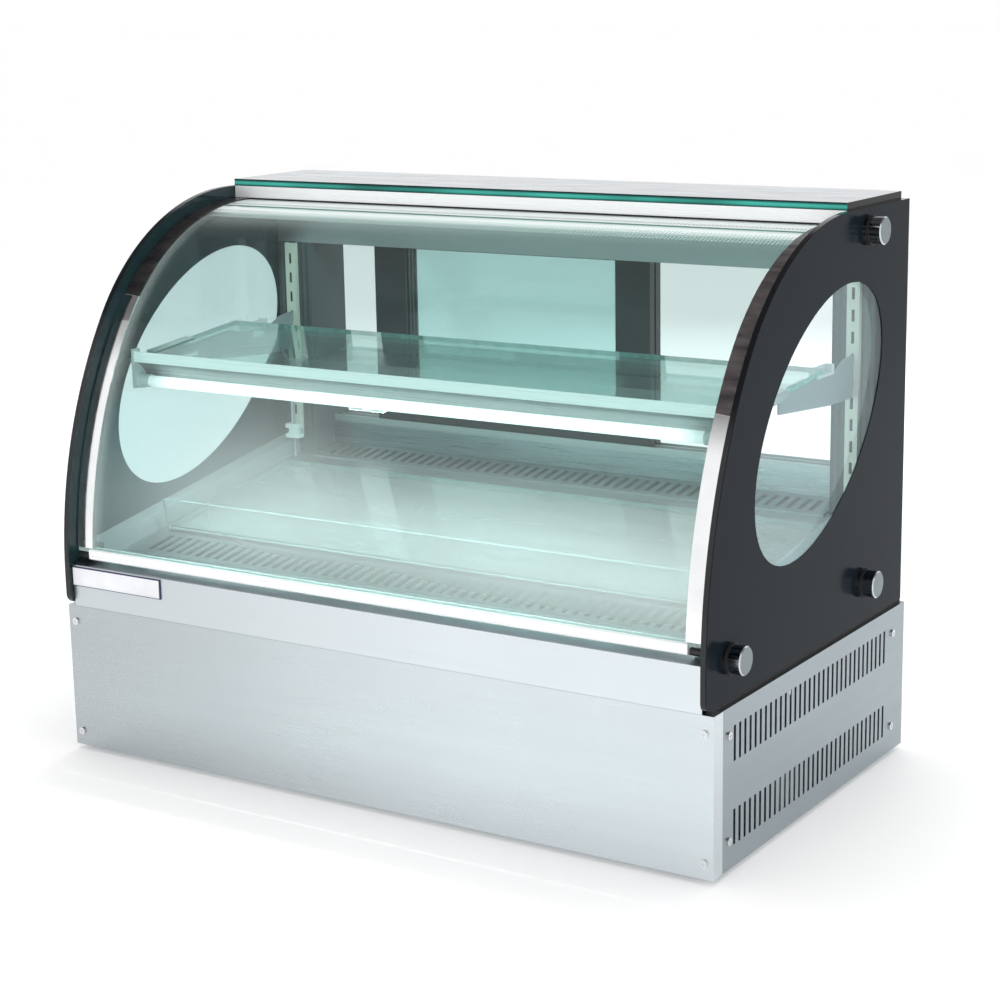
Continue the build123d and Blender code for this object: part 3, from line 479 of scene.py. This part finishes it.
def lamp(name, colour, strength, low, high):
    """Lit opal plastic, a little dimmer towards both ends."""
    t = Tree(name)
    axes = t.place()
    reach = max(abs(low.x), abs(high.x))
    off_centre = t.maths("ABSOLUTE", axes.outputs["X"])
    glow = t.span(off_centre, strength, strength * 0.35, reach * 0.9, reach, smooth=True)
    cloud = t.noise(size=40.0, detail=3.0)
    shader = t.add(
        "ShaderNodeBsdfPrincipled",
        Base_Color=(0.9, 0.92, 0.92, 1), Roughness=t.span(cloud, 0.3, 0.45),
        Emission_Color=(*colour, 1), Emission_Strength=glow,
    )
    return t.finish(shader.outputs[0])


def fin_stack(name, colour):
    """Thin aluminium fins, slightly uneven, with dust between them."""
    t = Tree(name)
    dust = t.noise(size=60.0, detail=5.0, rough=0.65)
    base = t.blend(t.span(dust, 0, 1, 0.4, 0.75), colour, (0.35, 0.34, 0.32))
    shader = t.add(
        "ShaderNodeBsdfPrincipled",
        Base_Color=base, Metallic=t.span(dust, 1.0, 0.4, 0.4, 0.75),
        Roughness=t.span(dust, 0.3, 0.6), Normal=t.bump(dust, 0.2, 0.0004),
    )
    return t.finish(shader.outputs[0])


def ribbed(name, colour, axis, pitch):
    """Extruded plastic with fine ribs that repeat along one axis, each rib painted lighter on its crest
    and darker in its trough.
    """
    t = Tree(name)
    axes = t.place()
    wave = t.maths("SINE", t.maths("MULTIPLY", axes.outputs[axis], 2 * math.pi / pitch))
    cloud = t.noise((4, 4, 1), size=8.0, detail=3.0)
    ridge = t.span(wave, 0, 1, -1, 1, smooth=True)
    # painted light and shade across each rib
    rib_painted_light = t.maths("MULTIPLY", ridge, t.span(cloud, 0.6, 1.0))
    base = t.blend(rib_painted_light, shade(colour, -0.35), shade(colour, 0.35))
    shader = t.add(
        "ShaderNodeBsdfPrincipled",
        Base_Color=base, Roughness=t.span(cloud, 0.39, 0.51),
        Normal=t.bump(ridge, 0.6, 0.0006),
    )
    return t.finish(shader.outputs[0])


# ------------------------------------------------------------------ finishes for the CAD nodes
FRONT_TINT = (0.8, 0.885, 0.875)
SIDE_TINT = (0.9, 0.95, 0.955)
SHELF_TINT = (0.8, 0.92, 0.9)
DOOR_TINT = (0.867, 0.943, 0.939)
BLACK_EDGE = (0.004, 0.005, 0.006)
GREEN_EDGE = (0.05, 0.26, 0.22)

SLOT_FINISH = {
    "stainless": brushed("stainless_sheet", (0.58, 0.635, 0.66), along=0),
    "galvanised": painted("zinc_sheet", (0.5, 0.52, 0.53), roughness=0.42, metallic=0.8, mottle=0.08),
    "screw_steel": polished("screw_steel", (0.72, 0.72, 0.73), roughness=0.16),
    "chrome": turned_cap("turned_cap", (0.22, 0.26, 0.27), (0.62, 0.68, 0.7)),
    "dark_chrome": turned_cap("turned_collar", (0.05, 0.055, 0.06), (0.3, 0.33, 0.34)),
    "plate_face": blank_plate("blank_plate", *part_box("nameplate")),
    "black_print": printed_glass("black_print", (0.009, 0.014, 0.019), gloss=0.04),
    "clear_glass": pane(
        "side_pane", SIDE_TINT, 0, BLACK_EDGE, haze=0.03, haze_colour=(0.45, 0.92, 1.0)
    ),
    "green_glass": pane("shelf_pane", SHELF_TINT, 2, (0.22, 0.5, 0.46), haze=0.08, mirror=1.2),
    "door_glass": pane("door_pane", DOOR_TINT, 1, GREEN_EDGE, haze=0.01),
    "top_glass": plate_glass_top("top_plate", *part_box("top_glass")),
    "acrylic": pane("acrylic_strip", (0.93, 0.97, 0.97), 1, (0.22, 0.32, 0.32), haze=0.06),
    "white_alu": brushed("white_aluminium", (0.93, 0.94, 0.95), 0, 0.3, metallic=0.3, streaks=0.03),
    "silver_alu": brushed("silver_aluminium", (0.62, 0.66, 0.66), 0, 0.36, metallic=0.8),
    "grey_plastic": ribbed("ribbed_grey", (0.05, 0.068, 0.072), 0, 9 * MM),
    "door_black": moulded("door_black", (0.018, 0.022, 0.025), roughness=0.32, texture=0.06),
    "black_rubber": moulded("black_rubber", (0.012, 0.012, 0.013), roughness=0.62, texture=0.3),
    "black_plastic": moulded("black_plastic", (0.015, 0.015, 0.017), roughness=0.36),
    "switch_red": moulded("switch_red", (0.5, 0.02, 0.015), roughness=0.25, coat=0.4),
    "switch_green": moulded("switch_green", (0.02, 0.32, 0.08), roughness=0.25, coat=0.4),
    "cream_paint": painted("cream_paint", (0.66, 0.68, 0.6), roughness=0.42),
    "bracket_grey": painted("bracket_grey", (0.3, 0.35, 0.37), roughness=0.4),
    "lamp_opal": lamp("lamp_tube", (0.93, 1.0, 0.98), 1.3, *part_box("shelf_light_tube")),
    "white_plastic": moulded("white_plastic", (0.75, 0.8, 0.8), roughness=0.35, texture=0.05),
    "lead_grey": moulded("lead_grey", (0.3, 0.34, 0.35), roughness=0.5),
    "compressor_black": painted("compressor_enamel", (0.015, 0.015, 0.018), roughness=0.28, peel=0.3),
    "fin_alu": fin_stack("fin_stack", (0.66, 0.68, 0.69)),
}

NODE_FINISH = {
    # front sheet and fascia carry painted shade towards their left ends
    "front_panel": brushed("front_sheet", (0.65, 0.705, 0.73), along=0, streaks=0.025, painted_shade=0.3),
    "side_vent_panels": brushed("side_sheet", (0.34, 0.39, 0.415), along=1, roughness=0.34),
    "front_glass": pane(
        "front_pane", FRONT_TINT, "curved", (0.05, 0.2, 0.18), haze=0.012, cover=window_cover
    ),
    "front_glass_strips": strip_painted_reflection("strip_painted_reflection"),
    "ceiling_lamp_diffuser": lamp(
        "ceiling_lamp", (0.85, 1.0, 0.97), 0.45, *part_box("ceiling_lamp_diffuser")
    ),
    "deck_glass": pane("tray_pane", SHELF_TINT, 2, (0.06, 0.2, 0.19), haze=0.1, mirror=0.9),
    # ceiling sheet and lamp tray: silver aluminium darkened as painted shade
    "top_panel": brushed("ceiling_sheet_painted_shade", (0.19, 0.22, 0.22), 0, 0.36, metallic=0.8),
    "ceiling_lamp_housing": brushed("lamp_tray_painted_shade", (0.17, 0.2, 0.2), 0, 0.36, metallic=0.8),
    "insulated_floor": painted("tub_floor", (0.03, 0.035, 0.036), roughness=0.6),
    "rear_header": brushed("header_sheet", (0.34, 0.38, 0.38), 0, 0.36, metallic=0.8),
    "side_border_left": printed_glass("left_border_print", (0.009, 0.024, 0.03), gloss=0.04),
    "fascia": brushed("fascia_sheet", (0.72, 0.77, 0.8), along=0, roughness=0.36, streaks=0.025, painted_shade=0.2),
    "deck_grilles": brushed("grille_sheet", (0.6, 0.65, 0.66), along=0, roughness=0.4),
    "shelf_light_bar": light_bar_metal("lamp_section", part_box("shelf_light_bar")[1].z - 13 * MM),
    "tub_walls": painted("tub_liner", (0.3, 0.35, 0.36), roughness=0.35, metallic=0.3),
}


def give(node, material):
    """Puts one material on a CAD node."""
    slots = frame["nodes"][node].material_slots
    for slot in slots:
        slot.link = "OBJECT"
        slot.material = material
    if not slots:
        frame["nodes"][node].data.materials.append(material)


for part in frame["record"]["subparts"]:
    name = part["node"]
    give(name, NODE_FINISH.get(name) or SLOT_FINISH[part["material_slot"]])


# ------------------------------------------------------------------ small added pieces
SHELF_SLOPE = 0.0955             # the shelf's rise to the back
SHELF_THICK = 6 * MM
CLIP_START, CLIP_END = 36 * MM, 112 * MM    # along Y from the shelf's front edge
CLIP_WALL = 1.6 * MM
CLIP_BEVEL = 0.3 * MM
# how far the clip's corners stand out from the glass's edge: upper lip, outside, lower lip, inside
CLIP_UPPER, CLIP_OUTSIDE, CLIP_LOWER, CLIP_INSIDE = -12 * MM, 3 * MM, -8 * MM, 1 * MM


def extruded(name, outline, start, end, slope):
    """Solid with an (X, Z) outline, swept along Y from start to end and rising with the slope."""
    mesh = bpy.data.meshes.new(name)
    solid = bmesh.new()
    rings = [
        [solid.verts.new((x, y, z + (y - start) * slope)) for x, z in outline] for y in (start, end)
    ]
    count = len(outline)
    for i in range(count):
        j = (i + 1) % count
        solid.faces.new((rings[0][i], rings[0][j], rings[1][j], rings[1][i]))
    solid.faces.new(reversed(rings[0]))
    solid.faces.new(rings[1])
    bmesh.ops.recalc_face_normals(solid, faces=solid.faces)
    bmesh.ops.bevel(solid, geom=solid.edges[:], offset=CLIP_BEVEL, segments=2, affect="EDGES")
    for face in solid.faces:
        face.smooth = True
    solid.to_mesh(mesh)
    solid.free()
    piece = bpy.data.objects.new(name, mesh)
    bpy.context.scene.collection.objects.link(piece)
    return piece


def make_shelf_clips():
    """Clear plastic clips gripping the shelf's left and right edges near the front."""
    low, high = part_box("shelf_glass")
    plastic = moulded("clip_plastic", (0.72, 0.82, 0.81), roughness=0.22, texture=0.03, coat=0.3)
    top = low.z + SHELF_THICK + CLIP_START * SHELF_SLOPE
    above = top + 0.2 * MM
    below = top - SHELF_THICK - 0.8 * MM
    corners = (
        (CLIP_UPPER, above), (CLIP_UPPER, above + CLIP_WALL),
        (CLIP_OUTSIDE, above + CLIP_WALL), (CLIP_OUTSIDE, below - CLIP_WALL),
        (CLIP_LOWER, below - CLIP_WALL), (CLIP_LOWER, below),
        (CLIP_INSIDE, below), (CLIP_INSIDE, above),
    )
    for side, word in ((-1, "left"), (1, "right")):
        outline = [((high.x + out) * side, z) for out, z in corners]
        clip = extruded(
            "shelf_clip_" + word, outline, low.y + CLIP_START, low.y + CLIP_END, SHELF_SLOPE
        )
        clip.data.materials.append(plastic)
        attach(clip, "cabinet")


make_shelf_clips()


# ------------------------------------------------------------------ stage, lights and camera
FLOOR_SIZE = 40
CEILING_START, CEILING_FULL = 0.5, 0.64    # sine of the height where the surround starts to darken
CEILING_COLOUR = (0.16, 0.15, 0.15, 1)
LAMP_GLOW = (0.9, 1.0, 0.99)
# softboxes aimed at the cabinet's middle: name, place, size and watts
SOFTBOXES = (
    ("front_fill", (0.8, -3.0, 1.6), (2.4, 1.6), 22),
    ("side_fill", (3.2, -0.6, 1.3), (1.6, 1.6), 9),
    ("back_fill", (-0.6, 3.0, 1.5), (2.4, 1.6), 25),
)


def make_stage():
    """Pale floor that runs out of the picture."""
    mesh = bpy.data.meshes.new("floor")
    grid = bmesh.new()
    bmesh.ops.create_grid(grid, x_segments=2, y_segments=2, size=FLOOR_SIZE)
    grid.to_mesh(mesh)
    grid.free()
    floor = bpy.data.objects.new("floor", mesh)
    bpy.context.scene.collection.objects.link(floor)
    floor.location.z = cad_box[0].z - 0.5 * MM
    t = Tree("pale_floor")
    cloud = t.noise(size=3.0, detail=3.0)
    shader = t.add(
        "ShaderNodeBsdfPrincipled",
        Base_Color=t.blend(t.span(cloud, 0, 1), (0.93, 0.933, 0.936), (0.95, 0.952, 0.955)),
        Roughness=t.span(cloud, 0.75, 0.85), Specular_IOR_Level=0.1,
        Emission_Color=(1, 1, 1, 1), Emission_Strength=0.15,
    )
    floor.data.materials.append(t.finish(shader.outputs[0]))


def make_world():
    """White studio surround that darkens to a grey ceiling from 30 degrees up."""
    world = bpy.data.worlds.new("studio")
    bpy.context.scene.world = world
    world.use_nodes = True
    nodes, links = world.node_tree.nodes, world.node_tree.links
    nodes.clear()
    where = nodes.new("ShaderNodeTexCoord")
    axes = nodes.new("ShaderNodeSeparateXYZ")
    ramp = nodes.new("ShaderNodeValToRGB")
    light = nodes.new("ShaderNodeBackground")
    out = nodes.new("ShaderNodeOutputWorld")
    links.new(where.outputs["Generated"], axes.inputs[0])
    links.new(axes.outputs["Z"], ramp.inputs[0])
    links.new(ramp.outputs[0], light.inputs["Color"])
    links.new(light.outputs[0], out.inputs[0])
    ramp.color_ramp.elements[0].position = CEILING_START
    ramp.color_ramp.elements[0].color = (1, 1, 1, 1)
    ramp.color_ramp.elements[1].position = CEILING_FULL
    ramp.color_ramp.elements[1].color = CEILING_COLOUR
    light.inputs["Strength"].default_value = 1.0


def soft_light(name, place, target, size, power, colour=(1, 1, 1)):
    """Rectangular softbox that doesn't show in reflections."""
    data = bpy.data.lights.new(name, "AREA")
    data.shape = "RECTANGLE"
    data.size, data.size_y = size
    data.energy = power
    data.color = colour
    light = bpy.data.objects.new(name, data)
    bpy.context.scene.collection.objects.link(light)
    light.location = place
    light.rotation_euler = (Vector(target) - Vector(place)).to_track_quat("-Z", "Y").to_euler()
    light.visible_glossy = False
    light.visible_camera = False


def make_lights():
    """Broad overhead light, three softboxes, and the shelf and ceiling lamps' own light."""
    sun = bpy.data.lights.new("overhead", "SUN")
    sun.angle = math.radians(70)
    sun.energy = 1.5
    overhead = bpy.data.objects.new("overhead", sun)
    overhead.rotation_euler = (math.radians(-8), math.radians(-3), 0)
    overhead.visible_glossy = False
    bpy.context.scene.collection.objects.link(overhead)
    centre = (cad_box[0] + cad_box[1]) / 2
    for name, place, size, power in SOFTBOXES:
        soft_light(name, place, centre, size, power)
    low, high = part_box("shelf_light_tube")
    length = high.x - low.x
    tube = (low + high) / 2
    below_tube = tube - Vector((0, 0, 12 * MM))
    soft_light("shelf_lamp", below_tube, (0, tube.y + 0.1, 0), (length, 20 * MM), 3.2, LAMP_GLOW)
    low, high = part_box("ceiling_lamp_diffuser")
    ceiling = (low + high) / 2
    ceiling.z = low.z - 3 * MM
    soft_light("ceiling_lamp", ceiling, (0, ceiling.y - 0.05, 0), (length, 40 * MM), 0.8, LAMP_GLOW)


# camera: its place, heading left of +Y, tilt down and roll
CAMERA_PLACE = Vector((1.4576, -2.2325, 0.9319))
CAMERA_HEADING = math.radians(32.63)
CAMERA_TILT = math.radians(12.97)
CAMERA_ROLL = math.radians(-1.01)
CAMERA_LENS = 80.56              # mm, on a 36 mm sensor


def make_camera():
    data = bpy.data.cameras.new("camera")
    data.lens = CAMERA_LENS
    data.sensor_width = 36
    data.clip_end = 200
    camera = bpy.data.objects.new("camera", data)
    bpy.context.scene.collection.objects.link(camera)
    flat = math.cos(CAMERA_TILT)
    ahead = Vector(
        (-math.sin(CAMERA_HEADING) * flat, math.cos(CAMERA_HEADING) * flat, -math.sin(CAMERA_TILT))
    )
    right = ahead.cross(Vector((0, 0, 1))).normalized()
    up = right.cross(ahead)
    turned_right = right * math.cos(CAMERA_ROLL) + up * math.sin(CAMERA_ROLL)
    turned_up = up * math.cos(CAMERA_ROLL) - right * math.sin(CAMERA_ROLL)
    turn = Matrix((turned_right, turned_up, -ahead)).transposed()
    camera.matrix_world = Matrix.Translation(CAMERA_PLACE) @ turn.to_4x4()
    bpy.context.scene.camera = camera


make_stage()
make_world()
make_lights()
make_camera()
bpy.context.scene.view_settings.view_transform = "Standard"
